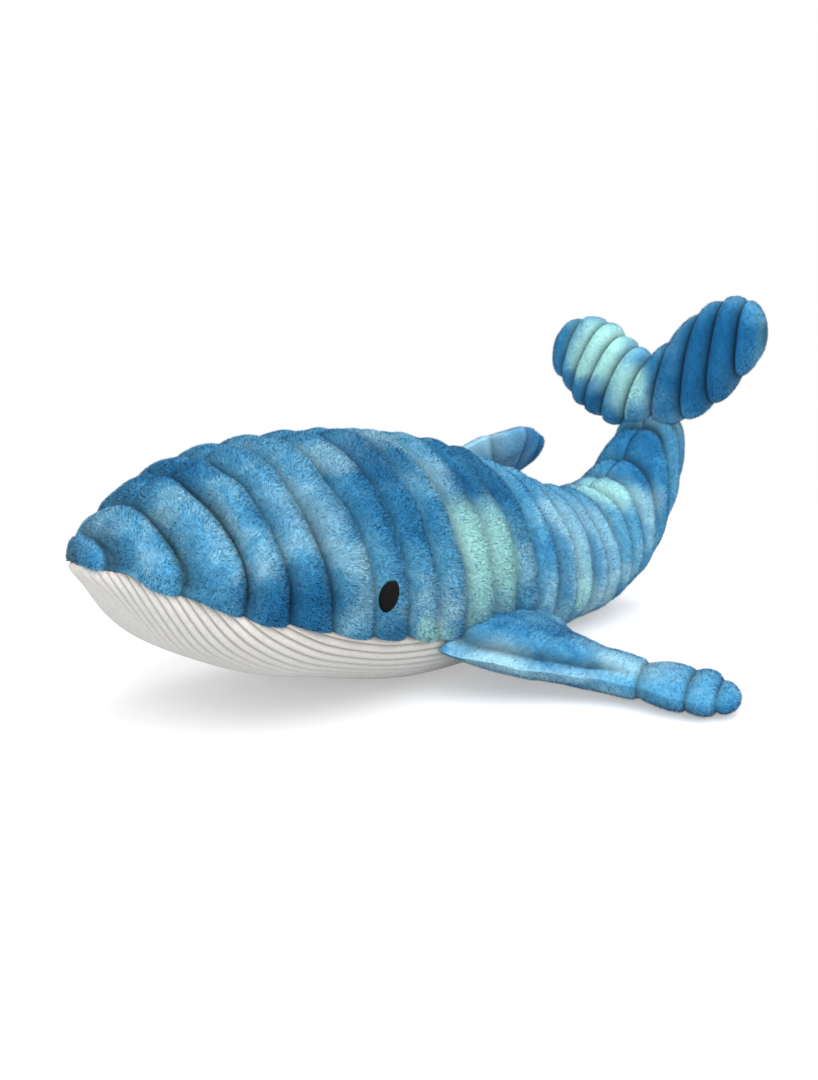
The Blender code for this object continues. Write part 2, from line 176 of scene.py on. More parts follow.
# Clouds of dye: centre and reach in metres, colour and share
body_clouds = [
    ((-0.085, -0.038, 0.130), (0.030, 0.050, 0.022), DEEP, 0.70),
    ((-0.172, -0.078, 0.068), (0.046, 0.040, 0.024), DEEP, 0.60),
    ((-0.111, -0.083, 0.049), (0.018, 0.040, 0.016), DEEP, 0.30),
    ((0.056, -0.060, 0.060), (0.013, 0.050, 0.034), BLUE, 0.70),
    ((-0.046, -0.077, 0.040), (0.015, 0.040, 0.016), DEEP, 0.55),
    ((0.010, -0.070, 0.030), (0.018, 0.040, 0.016), DEEP, 0.70),
    ((0.150, 0.030, 0.110), (0.070, 0.030, 0.060), DEEP, 0.80),
    ((0.224, -0.018, 0.124), (0.014, 0.030, 0.020), DEEP, 0.55),
    ((0.100, -0.050, 0.072), (0.050, 0.050, 0.050), PALE, 0.50),
    ((-0.036, -0.068, 0.072), (0.024, 0.050, 0.046), MINT, 0.85),
    ((-0.010, -0.068, 0.072), (0.018, 0.050, 0.042), MINT, 0.80),
    ((-0.078, -0.080, 0.042), (0.014, 0.040, 0.013), MINT, 0.75),
    ((0.165, -0.020, 0.094), (0.034, 0.040, 0.022), MINT, 0.75),
    ((0.197, -0.036, 0.080), (0.022, 0.040, 0.020), PALE, 0.60),
    ((0.085, -0.056, 0.034), (0.012, 0.040, 0.020), MINT, 0.65),
    ((-0.150, -0.060, 0.108), (0.020, 0.040, 0.022), PALE, 0.45),
    ((-0.230, -0.010, 0.095), (0.016, 0.040, 0.018), BLUE, 0.60),
    ((0.110, -0.040, 0.100), (0.040, 0.040, 0.018), SKY, 0.60),
    ((-0.111, -0.035, 0.133), (0.016, 0.030, 0.012), PALE, 0.50),
    ((-0.046, -0.044, 0.121), (0.014, 0.030, 0.016), PALE, 0.50),
    ((0.067, -0.050, 0.081), (0.014, 0.030, 0.014), PALE, 0.50),
    ((0.105, -0.055, 0.052), (0.012, 0.030, 0.020), BLUE, 0.70),
]


def mixed(tree, amount, first, second, way="MIX"):
    """Colour mixed from two others by an amount."""
    mix = tree.nodes.new("ShaderNodeMix")
    mix.data_type = "RGBA"
    mix.blend_type = way
    for socket, value in ((mix.inputs[0], amount), (mix.inputs[6], first), (mix.inputs[7], second)):
        if isinstance(value, bpy.types.NodeSocket):
            tree.links.new(value, socket)
        else:
            socket.default_value = value
    return mix.outputs[2]


def dye_group(name, clouds):
    """The dye as a group of nodes with one colour going out."""
    tree = bpy.data.node_groups.new(name, "ShaderNodeTree")
    tree.interface.new_socket("Color", in_out="OUTPUT", socket_type="NodeSocketColor")
    place = node(tree, "ShaderNodeTexCoord").outputs["Object"]
    drift = node(tree, "ShaderNodeTexNoise", place, None, warp_scale, 2.0).outputs["Color"]
    drift = node(tree, "ShaderNodeVectorMath", drift, (0.5, 0.5, 0.5), operation="SUBTRACT").outputs[0]
    reach = (warp_reach, warp_reach, warp_reach)
    drift = node(tree, "ShaderNodeVectorMath", drift, reach, operation="MULTIPLY").outputs[0]
    soak_and_root_shade = node(tree, "ShaderNodeVectorMath", place, drift, operation="ADD").outputs[0]
    cloud = node(tree, "ShaderNodeTexNoise", soak_and_root_shade, None, cloud_scale, 5.0, 0.68).outputs["Fac"]
    ramp = node(tree, "ShaderNodeValToRGB", cloud)
    for spot, colour in dye_stops:
        ramp.color_ramp.elements.new(spot).color = colour
    ramp.color_ramp.elements.remove(ramp.color_ramp.elements[0])
    ramp.color_ramp.elements.remove(ramp.color_ramp.elements[-1])
    colour = ramp.outputs[0]
    for centre, reach, tint, share in clouds:
        off = node(tree, "ShaderNodeVectorMath", soak_and_root_shade, centre, operation="SUBTRACT").outputs[0]
        off = node(tree, "ShaderNodeVectorMath", off, reach, operation="DIVIDE").outputs[0]
        far = node(tree, "ShaderNodeVectorMath", off, operation="LENGTH").outputs["Value"]
        amount = node(tree, "ShaderNodeMapRange", far, 0.35, 1.15, share, 0.0,
                      interpolation_type="SMOOTHSTEP").outputs[0]
        colour = mixed(tree, amount, colour, tint)
    end = tree.nodes.new("NodeGroupOutput")
    tree.links.new(colour, end.inputs[0])
    return tree


def dyed(name, group, strands):
    """Plush dyed by a group: the strands of its pile, or the cloth under them. Its colour also carries
    painted shade in the grooves, a painted highlight on the ribs' rims and, on strands, painted shade at
    their roots.
    """
    material = bpy.data.materials.new(name)
    material.use_nodes = True
    tree = material.node_tree
    shader = tree.nodes["Principled BSDF"]
    dye = tree.nodes.new("ShaderNodeGroup")
    dye.node_tree = group
    crown = node(tree, "ShaderNodeAttribute", attribute_name="crown").outputs["Fac"]
    # Painted shade in the rib grooves and a painted highlight on the rims, from the crown mark
    light = node(tree, "ShaderNodeMapRange", crown, 0.20, 1.35, 0.30, 1.40).outputs[0]
    if strands:
        tip = node(tree, "ShaderNodeAttribute", attribute_name="tip").outputs["Fac"]
        tone = node(tree, "ShaderNodeAttribute", attribute_name="strand").outputs["Fac"]
        worn = node(tree, "ShaderNodeMapRange", tone, 0.0, 1.0, 0.82, 1.42).outputs[0]
        # Painted shade at the strands' roots, lighter at their tips; worn then carries it along with the
        # strands' random tone
        soak_and_root_shade = node(tree, "ShaderNodeMapRange", tip, 0.0, 1.0, 0.94, 1.05).outputs[0]
        worn = node(tree, "ShaderNodeMath", soak_and_root_shade, worn, operation="MULTIPLY").outputs[0]
    else:
        place = node(tree, "ShaderNodeTexCoord").outputs["Object"]
        drift = node(tree, "ShaderNodeTexNoise", place, None, 60.0, 1.0).outputs["Color"]
        drift = node(tree, "ShaderNodeVectorMath", drift, streak_drift, operation="MULTIPLY").outputs[0]
        lain = node(tree, "ShaderNodeVectorMath", place, drift, operation="ADD").outputs[0]
        lain = node(tree, "ShaderNodeVectorMath", lain, streak_stretch, operation="MULTIPLY").outputs[0]
        fine = node(tree, "ShaderNodeTexNoise", lain, None, speck_scale, 4.0, 0.75).outputs["Fac"]
        worn = node(tree, "ShaderNodeMapRange", fine, 0.3, 0.7, 0.85, 1.25).outputs[0]
        nap = node(tree, "ShaderNodeBump", 0.5, 0.0010, None, fine).outputs[0]
        tree.links.new(nap, shader.inputs["Normal"])
    light = node(tree, "ShaderNodeMath", light, worn, operation="MULTIPLY").outputs[0]
    shade = node(tree, "ShaderNodeCombineColor", light, light, light).outputs[0]
    tree.links.new(mixed(tree, 1.0, dye.outputs[0], shade, "MULTIPLY"), shader.inputs["Base Color"])
    shader.inputs["Roughness"].default_value = 0.85
    shader.inputs["Specular IOR Level"].default_value = 0.2
    shader.inputs["Sheen Weight"].default_value = 0.07
    shader.inputs["Sheen Roughness"].default_value = 0.45
    shader.inputs["Sheen Tint"].default_value = (0.80, 0.92, 1.0, 1)
    return material


body_dye = dye_group("body_dye", body_clouds)
body_cloth = dyed("blue_plush_cloth", body_dye, False)
body_strands = dyed("blue_plush_strands", body_dye, True)

body_length = 0.518
body_width = 0.170
body_height = 0.144
belly_flat_share = 0.458
rib_depth = 0.0085
crest_lift = 0.0015
# Strength of the painted highlight along each rib's rear rim
rim_highlight_gain = 0.50
pile_length = 0.0015
pile_sink = 0.0009
strand_width = 0.00022
cloth_thickness = 0.0016
seam_dip = 0.0022
stations = [0, .007, .019, .039, .065, .103, .152, .220, .316, .437,
            .557, .654, .727, .799, .872, .944, 1]
width_shares = [.040, .124, .257, .442, .634, .832, .950, 1, .953, .867,
                .758, .670, .599, .507, .419, .325, .240]
back_shares = [.648, .679, .714, .759, .821, .894, .953, .990, 1, .946,
               .821, .698, .651, .672, .820, 1.130, 1.440]
belly_shares = [.603, .573, .530, .477, .400, .310, .215, .130, .035, 0,
                0, .026, .031, .082, .165, .430, .770]
seam_shares = [.620, .606, .602, .556, .512, .451, .400, .328, .255, .165,
               .087, .057, .052, .090, .165, .430, .770]
groove_shares = [.015, .054, .096, .132, .172, .220, .268, .316, .363, .413, .461,
                 .509, .558, .606, .650, .689, .731, .773, .814, .858, .906, .949]
middle_share = 0.42
rounding_shares = [0, .60, .82, .90, 1]
upper_roundness = [1.8, 1.8, 2.1, 2.6, 2.6]
lower_roundness = [2.7, 2.7, 2.2, 2.1, 2.1]
rib_skew = 0.7
rib_fullness = 1.4
# Where on each rib the painted rim highlight peaks, and how wide it is
crest_place = 0.86
crest_reach = 0.06
rib_rows = 14
side_columns = 48

joints = {joint["name"]: joint for joint in frame["joints"]}
fluke_foot = Vector(joints["fluke_flap"]["pos_m"])


def follow(shares, values, share):
    """Smooth curve through the values at the given shares."""
    shares = np.asarray(shares, float)
    values = np.asarray(values, float)
    slopes = np.gradient(values, shares)
    share = np.clip(share, shares[0], shares[-1])
    index = np.clip(np.searchsorted(shares, share) - 1, 0, len(shares) - 2)
    step = shares[index + 1] - shares[index]
    part = (share - shares[index]) / step
    rest = 1 - part
    value = rest * rest * (1 + 2 * part) * values[index]
    value = value + part * part * (3 - 2 * part) * values[index + 1]
    value = value + rest * rest * part * step * slopes[index]
    return value - part * part * rest * step * slopes[index + 1]


def unevenness(places, size, seed):
    """Soft unevenness of about the given size, between -1 and 1."""
    chance = np.random.default_rng(seed)
    total = np.zeros(len(places))
    for _ in range(6):
        wave = chance.normal(size=3)
        wave *= math.tau / size / np.linalg.norm(wave) * chance.uniform(0.7, 1.3)
        total += np.sin(places @ wave + chance.uniform(0, math.tau))
    return total / 3


def share_at(x):
    return x / body_length + belly_flat_share


def half_width(x):
    return body_width / 2 * follow(stations, width_shares, share_at(x))


def section(x):
    """Top, middle and bottom of the body at x, with its upper and lower roundness."""
    share = share_at(x)
    top = body_height * follow(stations, back_shares, share)
    bottom = body_height * np.maximum(follow(stations, belly_shares, share), 0)
    top = np.where(share > 0.85, np.minimum(top, fluke_foot.z + 0.008), top)
    middle = bottom + middle_share * (top - bottom)
    upper = follow(rounding_shares, upper_roundness, share)
    lower = follow(rounding_shares, lower_roundness, share)
    return top, middle, bottom, upper, lower


def body_point(x, turn):
    """Point of the smooth body; turn runs from -90 degrees (belly) to 90 (back)."""
    top, middle, bottom, upper, lower = section(x)
    power = np.where(turn > 0, upper, lower)
    tall = np.where(turn > 0, top - middle, middle - bottom)
    reach = (np.abs(np.cos(turn)) ** power + np.abs(np.sin(turn)) ** power) ** (-1 / power)
    return np.stack([x, half_width(x) * reach * np.cos(turn), middle + tall * reach * np.sin(turn)], -1)


def body_skin(x, turn, lift):
    """Point that lies a given distance outside the smooth body."""
    nudge = 0.0002
    swing = 0.003
    low, high = body_length * (np.array([0.0, 1.0]) - belly_flat_share)
    inner = np.clip(x, low + nudge, high - nudge)
    safe = np.clip(turn, swing - math.pi / 2, math.pi / 2 - swing)
    lengthwise = body_point(inner + nudge, safe) - body_point(inner - nudge, safe)
    around = body_point(inner, safe + swing) - body_point(inner, safe - swing)
    normal = np.cross(around, lengthwise)
    normal /= np.maximum(np.linalg.norm(normal, axis=-1, keepdims=True), 1e-12)
    return body_point(x, turn) + normal * lift[:, None]


def seam_turn(x):
    """Where the belly panel meets the side panel, as a turn of the section."""
    top, middle, bottom, upper, lower = section(x)
    level = body_height * follow(stations, seam_shares, share_at(x))
    drop = np.clip((middle - level) / (middle - bottom), 0.01, 1)
    return -np.arctan2(drop, np.maximum(1 - drop ** lower, 0) ** (1 / lower))


def along_ribs(share, edges):
    """Place along the ribs, how hollow the skin is there, and how near it is to a rib's rim, where a painted
    highlight goes.
    """
    run = np.clip(share, 0, 1 - 1e-9) * (len(edges) - 1)
    rib = run.astype(int)
    part = run - rib
    part = part - rib_skew * np.sin(math.tau * part) / math.tau
    hollow = 1 - np.sqrt(np.clip(1 - (2 * part ** rib_fullness - 1) ** 2, 0, 1))
    rim = np.exp(-((part - crest_place) / crest_reach) ** 2)
    return edges[rib] + (edges[rib + 1] - edges[rib]) * part, hollow, rim, rib


def grid_piece(name, columns, rows, placed, material):
    """Grid whose corners are moved to their places, joined where they meet."""
    form = bmesh.new()
    bmesh.ops.create_grid(form, x_segments=columns, y_segments=rows, size=0.5)
    spots = np.array([vertex.co for vertex in form.verts]) + 0.5
    places, marks = placed(spots[:, 0], spots[:, 1])
    layers = [form.verts.layers.float.new(mark) for mark in marks]
    for vertex, place, *values in zip(form.verts, places, *marks.values()):
        vertex.co = place
        for layer, value in zip(layers, values):
            vertex[layer] = value
    bmesh.ops.remove_doubles(form, verts=form.verts, dist=0.00002)
    bmesh.ops.recalc_face_normals(form, faces=form.faces)
    middle = sum((vertex.co for vertex in form.verts), Vector()) / len(form.verts)
    if sum(face.normal.dot(face.calc_center_median() - middle) for face in form.faces) < 0:
        bmesh.ops.reverse_faces(form, faces=form.faces)
    mesh = bpy.data.meshes.new(name)
    form.to_mesh(mesh)
    form.free()
    mesh.shade_smooth()
    mesh.materials.append(material)
    piece = bpy.data.objects.new(name, mesh)
    scene.collection.objects.link(piece)
    return piece


def closed(piece, thickness=0.0):
    """Gives an open skin its thickness inwards, or closes a round one at its ends."""
    form = bmesh.new()
    form.from_mesh(piece.data)
    if thickness:
        lining = bmesh.ops.extrude_face_region(form, geom=form.faces[:], use_keep_orig=True)["geom"]
        for part in lining:
            if isinstance(part, bmesh.types.BMVert):
                part.co -= part.normal * thickness
    else:
        bmesh.ops.holes_fill(form, edges=form.edges, sides=0)
    bmesh.ops.recalc_face_normals(form, faces=form.faces)
    if form.calc_volume(signed=True) < 0:
        bmesh.ops.reverse_faces(form, faces=form.faces)
    form.to_mesh(piece.data)
    form.free()


def pile(name, skin, strands, lie, material, seed, within=None):
    """Strands of pile rooted all over a skin, or a part of it, that lean along its lie."""
    chance = np.random.default_rng(seed)
    mesh = skin.data
    mesh.calc_loop_triangles()
    corners = np.empty(len(mesh.loop_triangles) * 3, int)
    mesh.loop_triangles.foreach_get("vertices", corners)
    corners = corners.reshape(-1, 3)
    points = np.empty(len(mesh.vertices) * 3)
    mesh.vertices.foreach_get("co", points)
    points = points.reshape(-1, 3)
    normals = np.empty(len(mesh.vertices) * 3)
    mesh.vertices.foreach_get("normal", normals)
    normals = normals.reshape(-1, 3)
    crowns = np.empty(len(mesh.vertices))
    mesh.attributes["crown"].data.foreach_get("value", crowns)
    if within:
        corners = corners[within(points[corners].mean(1))]
    sides = points[corners]
    areas = np.linalg.norm(np.cross(sides[:, 1] - sides[:, 0], sides[:, 2] - sides[:, 0]), axis=1)
    areas *= 0.15 + crowns[corners].mean(1)
    rooted = corners[chance.choice(len(corners), strands, p=areas / areas.sum())]
    shares = chance.dirichlet((1, 1, 1), strands)
    roots = np.einsum("ij,ijk->ik", shares, points[rooted])
    crown = np.einsum("ij,ij->i", shares, crowns[rooted])
    out = np.einsum("ij,ijk->ik", shares, normals[rooted])
    out /= np.linalg.norm(out, axis=1, keepdims=True)
    flow = lie(roots) + 0.12 * chance.normal(size=(strands, 3))
    for size, share in ((0.030, 0.35), (0.008, 0.22)):
        flow += share * np.stack([unevenness(roots, size, seed + axis) for axis in range(3)], -1)
    flow -= out * np.einsum("ij,ij->i", flow, out)[:, None]
    way = out * 0.60 + flow * 0.40
    way /= np.linalg.norm(way, axis=1, keepdims=True)
    reach = pile_length * chance.uniform(0.6, 1.15, strands) * (0.45 + 0.55 * crown)
    tips = roots + way * reach[:, None]
    across = np.cross(way, chance.normal(size=(strands, 3)))
    across *= (strand_width / 2 * chance.uniform(0.7, 1.2, strands) / np.linalg.norm(across, axis=1))[:, None]
    bottoms = roots - out * pile_length * 0.12
    coat = bpy.data.meshes.new(name)
    coat.vertices.add(strands * 3)
    blades = np.stack([bottoms - across, bottoms + across, tips], 1)
    coat.vertices.foreach_set("co", blades.ravel())
    coat.loops.add(strands * 3)
    coat.loops.foreach_set("vertex_index", np.arange(strands * 3))
    coat.polygons.add(strands)
    coat.polygons.foreach_set("loop_start", np.arange(0, strands * 3, 3))
    coat.update(calc_edges=True)
    tone = 0.5 + 0.13 * unevenness(roots, 0.0026, seed + 7) + 0.14 * unevenness(roots, 0.009, seed + 8)
    tone = np.clip(tone + chance.normal(size=strands) * 0.06, 0, 1)
    # Each strand carries the painted groove shade and rim highlight of the skin at its root, and a tip mark
    # that paints shade at its root
    marks = (("tip", np.tile((0.0, 0.0, 1.0), strands)), ("strand", np.repeat(tone, 3)),
             ("crown", np.repeat(crown, 3)))
    for mark, values in marks:
        coat.attributes.new(mark, "FLOAT", "POINT").data.foreach_set("value", values)
    cells = math.ceil(math.sqrt(strands))
    number = np.arange(strands)
    cell = np.stack([number % cells, number // cells], -1)[:, None]
    chart = coat.uv_layers.new(name="OFBake")
    chart.uv.foreach_set("vector", ((cell + np.array([(0.1, 0.1), (0.9, 0.1), (0.5, 0.9)])) / cells).ravel())
    bend = out + way * 0.08 + 0.04 * chance.normal(size=(strands, 3))
    bend /= np.linalg.norm(bend, axis=1, keepdims=True)
    coat.normals_split_custom_set_from_vertices(np.repeat(bend, 3, axis=0))
    coat.materials.append(material)
    piece = bpy.data.objects.new(name, coat)
    scene.collection.objects.link(piece)
    return piece


rib_edges = body_length * (np.array([0.0] + groove_shares + [1.0]) - belly_flat_share)
nose_tip = np.array([rib_edges[0] + 0.0008, 0, body_height * seam_shares[0] + 0.001])


def side_places(side):
    """Where the corners of one side panel's grid go, and how high they lie on a rib."""

    def placed(across, along):
        x, hollow, rim, rib = along_ribs(along, rib_edges)
        low = seam_turn(x) - 0.020 * (1 - hollow)
        turn = low + (math.pi / 2 - low) * across
        shrink = np.sqrt(1 - np.clip((share_at(x) - 0.955) / 0.045, 0, 1) ** 2)
        depth = rib_depth * np.clip(half_width(x) / (0.15 * body_width), 0, 1) * shrink
        uneven = 1 + 0.25 * unevenness(np.stack([rib * 0.7, turn, 0 * x], -1), 1.6, 3)
        uneven = uneven * (0.35 + 0.65 * np.clip(across / 0.10, 0, 1))
        lift = crest_lift * np.clip(half_width(x) / (0.3 * body_width), 0, 1) - depth * hollow * uneven
        dip = seam_dip * np.clip((share_at(x) - 0.03) / 0.08, 0, 1)
        lift = lift - dip * np.exp(-((1 - across) / 0.03) ** 2)
        free = 1 - across ** 8
        waver = 0.0012 * free * unevenness(np.stack([rib * 1.0, turn, 0 * x], -1), 1.1, 9 + side)
        places = body_skin(x + waver * np.clip(depth / rib_depth, 0, 1) * (hollow > 0.01), turn, lift)
        places += (free * unevenness(places, 0.035, 5 + side))[:, None] * 0.0007 * np.array([0, 1, 1])
        top, _, bottom, _, _ = section(x)
        places[:, 1] = np.maximum(places[:, 1] * shrink, 0.0002) * side
        places[:, 2] = np.maximum((top + bottom) / 2 * (1 - shrink) + places[:, 2] * shrink, 0.0006)
        places[along < 1e-6] = nose_tip
        # This colour mark is painted shade in the grooves and a painted highlight along each rib's rear rim
        return places, {"crown": 1 - hollow + rim_highlight_gain * rim}

    return placed


def along_body(roots):
    """The body's pile lies back from the nose, drooping a little."""
    return np.array([0.9, 0.0, -0.35]) * np.ones_like(roots)


eye_tilt_deg = 21.0
bare_size = (0.0048, 0.0072)
eye_centre = (np.array(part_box("eye_left")[0]) + np.array(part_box("eye_left")[1])) / 2 + (0.002, 0, 0)


def between(low, high):
    """Part of the body from one place along it to another, apart from under the eyes."""
    def chosen(centres):
        aft, above = (centres - eye_centre)[:, (0, 2)].T
        tilt = math.radians(eye_tilt_deg)
        off = np.hypot((aft * math.cos(tilt) - above * math.sin(tilt)) / bare_size[0],
                       (aft * math.sin(tilt) + above * math.cos(tilt)) / bare_size[1])
        bare = (off < 1) & (np.abs(centres[:, 1]) > 0.07)
        return (centres[:, 0] > low) & (centres[:, 0] <= high) & ~bare
    return chosen


coat_ends = (("head_pile_", -0.3, -0.100, 160000), ("flank_pile_", -0.100, 0.020, 160000),
             ("tail_pile_", 0.020, 0.3, 130000))
for word, side in (("left", -1), ("right", 1)):
    skin = grid_piece("side_panel_cloth_" + word, side_columns, (len(rib_edges) - 1) * rib_rows,
                      side_places(side), body_cloth)
    pieces = [skin]
    for index, (name, low, high, strands) in enumerate(coat_ends):
        pieces.append(pile(name + word, skin, strands, along_body, body_strands,
                           11 + side + 3 * index, between(low, high)))
    closed(skin, cloth_thickness)
    for piece in pieces:
        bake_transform(piece)
    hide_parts("side_panel_" + word, "tail_panel_" + word)

# Belly panel
# One pale panel of cream plush with narrow lengthwise wales, which its edges cut at the
# chin. It is sewn to both side panels, under their lowest tufts.
CREAM = (0.690, 0.680, 0.655, 1)
SEAM_CREAM = (0.760, 0.660, 0.560, 1)
wales = 40
wale_depth = 0.0020
belly_lift = 0.0010
chin_shares = [0, .02, .05, .08, .12, .20, .32, .45]
chin_lifts = [0, 0, .0040, .0085, .0078, .0038, .0012, 0]
belly_rows = 150
belly_end_share = 0.862


def belly_places(across, along):
    """Where the corners of the belly's grid go, how high on a wale and how near the seam.

    The grid's columns lie along the wales. Past the seam they all end on it.
    """
    share = 0.002 + (belly_end_share - 0.002) * along ** 1.25
    x = body_length * (share - belly_flat_share)
    edge = seam_turn(x) + 0.05
    _, rise_y, rise_z = (body_point(x, edge) - body_point(x, 0 * x - math.pi / 2)).T
    reach = np.hypot(rise_y, rise_z)
    part = np.minimum(np.abs(2 * across - 1) * reach.max() / reach, 1)
    drift = 0.005 * unevenness(np.stack([x, part * 0.05, 0 * x], -1), 0.05, 71) * (1 - part)
    turn = (edge + math.pi / 2) * (0.8 * part + 0.2 * part ** 2) - math.pi / 2 + drift
    broad = np.clip(half_width(x) / (0.16 * body_width), 0, 1) * np.clip((1 - part) / 0.03, 0, 1)
    hollow = (1 - np.abs(np.sin(across * wales * math.pi)) ** 0.5) * broad
    lift = belly_lift - 0.0050 * part ** 10 - wale_depth * hollow
    lift = lift + follow(chin_shares, chin_lifts, share) * (1 - part ** 3)
    places = body_skin(x, turn, lift)
    places[:, 1] *= np.sign(2 * across - 1)
    places[:, 2] = np.maximum(places[:, 2], 0.0003)
    places[along < 1e-6] = nose_tip - (0, 0, 0.002)
    # The crown mark is painted shade in the wale grooves
    return places, {"crown": 1 - hollow, "seam": part ** 14}


cream = bpy.data.materials.new("cream_wale_plush")
cream.use_nodes = True
tree = cream.node_tree
shader = tree.nodes["Principled BSDF"]
place = node(tree, "ShaderNodeTexCoord").outputs["Object"]
fine = node(tree, "ShaderNodeTexNoise", place, None, 700.0, 3.0, 0.7).outputs["Fac"]
broad = node(tree, "ShaderNodeTexNoise", place, None, 25.0, 2.0).outputs["Fac"]
seam = node(tree, "ShaderNodeAttribute", attribute_name="seam").outputs["Fac"]
crown = node(tree, "ShaderNodeAttribute", attribute_name="crown").outputs["Fac"]
light = node(tree, "ShaderNodeMapRange", fine, 0.3, 0.7, 0.88, 1.04).outputs[0]
worn = node(tree, "ShaderNodeMapRange", broad, 0.3, 0.7, 0.95, 1.02).outputs[0]
# Painted shade in the wale grooves, from the crown mark
high = node(tree, "ShaderNodeMapRange", crown, 0.0, 0.75, 0.50, 1.0).outputs[0]
light = node(tree, "ShaderNodeMath", light, worn, operation="MULTIPLY").outputs[0]
light = node(tree, "ShaderNodeMath", light, high, operation="MULTIPLY").outputs[0]
shade = node(tree, "ShaderNodeCombineColor", light, light, light).outputs[0]
tinted = mixed(tree, 1.0, mixed(tree, seam, CREAM, SEAM_CREAM), shade, "MULTIPLY")
tree.links.new(tinted, shader.inputs["Base Color"])
nap = node(tree, "ShaderNodeBump", 0.35, 0.0004, None, fine).outputs[0]
tree.links.new(nap, shader.inputs["Normal"])
shader.inputs["Roughness"].default_value = 0.9
shader.inputs["Sheen Weight"].default_value = 0.2
shader.inputs["Specular IOR Level"].default_value = 0.2

belly = grid_piece("belly_panel_cloth", wales * 6, belly_rows, belly_places, cream)
closed(belly, cloth_thickness)
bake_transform(belly)
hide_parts("belly_panel", "body_filling", "tail_filling")

# Eyes
# Two oval pads of black felt, a little domed, sewn flat on the sides of the head. They
# lean back at the top, and the pile beside them laps over their edges.
eye_size = (0.0060, 0.0034, 0.0085)
eye_seat = 0.0019

felt = bpy.data.materials.new("black_felt")
felt.use_nodes = True
tree = felt.node_tree
shader = tree.nodes["Principled BSDF"]
place = node(tree, "ShaderNodeTexCoord").outputs["Object"]
fuzz = node(tree, "ShaderNodeTexNoise", place, None, 1800.0, 3.0).outputs["Fac"]
black = mixed(tree, fuzz, (0.002, 0.002, 0.002, 1), (0.014, 0.014, 0.016, 1))
tree.links.new(black, shader.inputs["Base Color"])
nap = node(tree, "ShaderNodeBump", 0.4, 0.0003, None, fuzz).outputs[0]
tree.links.new(nap, shader.inputs["Normal"])
shader.inputs["Roughness"].default_value = 0.95
shader.inputs["Specular IOR Level"].default_value = 0.1

for word, side in (("left", -1), ("right", 1)):
    form = bmesh.new()
    bmesh.ops.create_uvsphere(form, u_segments=40, v_segments=20, radius=1.0)
    bmesh.ops.scale(form, verts=form.verts, vec=eye_size)
    tilt = Matrix.Rotation(math.radians(eye_tilt_deg), 3, "Y")
    bmesh.ops.rotate(form, verts=form.verts, matrix=tilt)
    spot = Vector(eye_centre) * Vector((1, -side, 1))
    bmesh.ops.translate(form, verts=form.verts, vec=spot - Vector((0, side * eye_seat, 0)))
    mesh = bpy.data.meshes.new("eye_pad_" + word)
    form.to_mesh(mesh)
    form.free()
    mesh.shade_smooth()
    mesh.materials.append(felt)
    eye = bpy.data.objects.new("eye_pad_" + word, mesh)
    scene.collection.objects.link(eye)
    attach(eye, "trunk")
    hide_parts("eye_" + word)

# Pectoral fins
# Each fin is two panels of ribbed plush turned inside out and stuffed, then sewn along its
# root. The near fin lies out to the side; the far one is folded up and back.
fin_root_chord = 0.118
fin_rib_pitch = 0.025
fin_strands_each = 60000
fin_root_radius = 0.0105
fin_rib_depth = 0.0040
fin_rows = 12
fin_columns = 64
fin_shares = [0, .13, .27, .43, .60, .76, .90, 1]
fin_front_shares = [-.50, -.38, -.26, -.18, -.17, -.20, -.18, -.05]
fin_back_shares = [.50, .36, .25, .18, .17, .20, .18, .05]
fin_thick_shares = [1, .95, .86, .78, .74, .74, .62, .30]
# Side, span, how each rises and sweeps back on its way out, its breadth and how far it lies back
fins = {
    "left": (-1, 0.128, (-10, -7, -1), (0, 12, 14, 14), 1.05, 0.0),
    "right": (1, 0.196, (46, 132, 143), (0, 27, 38, 85), 1.42, 0.012),
}


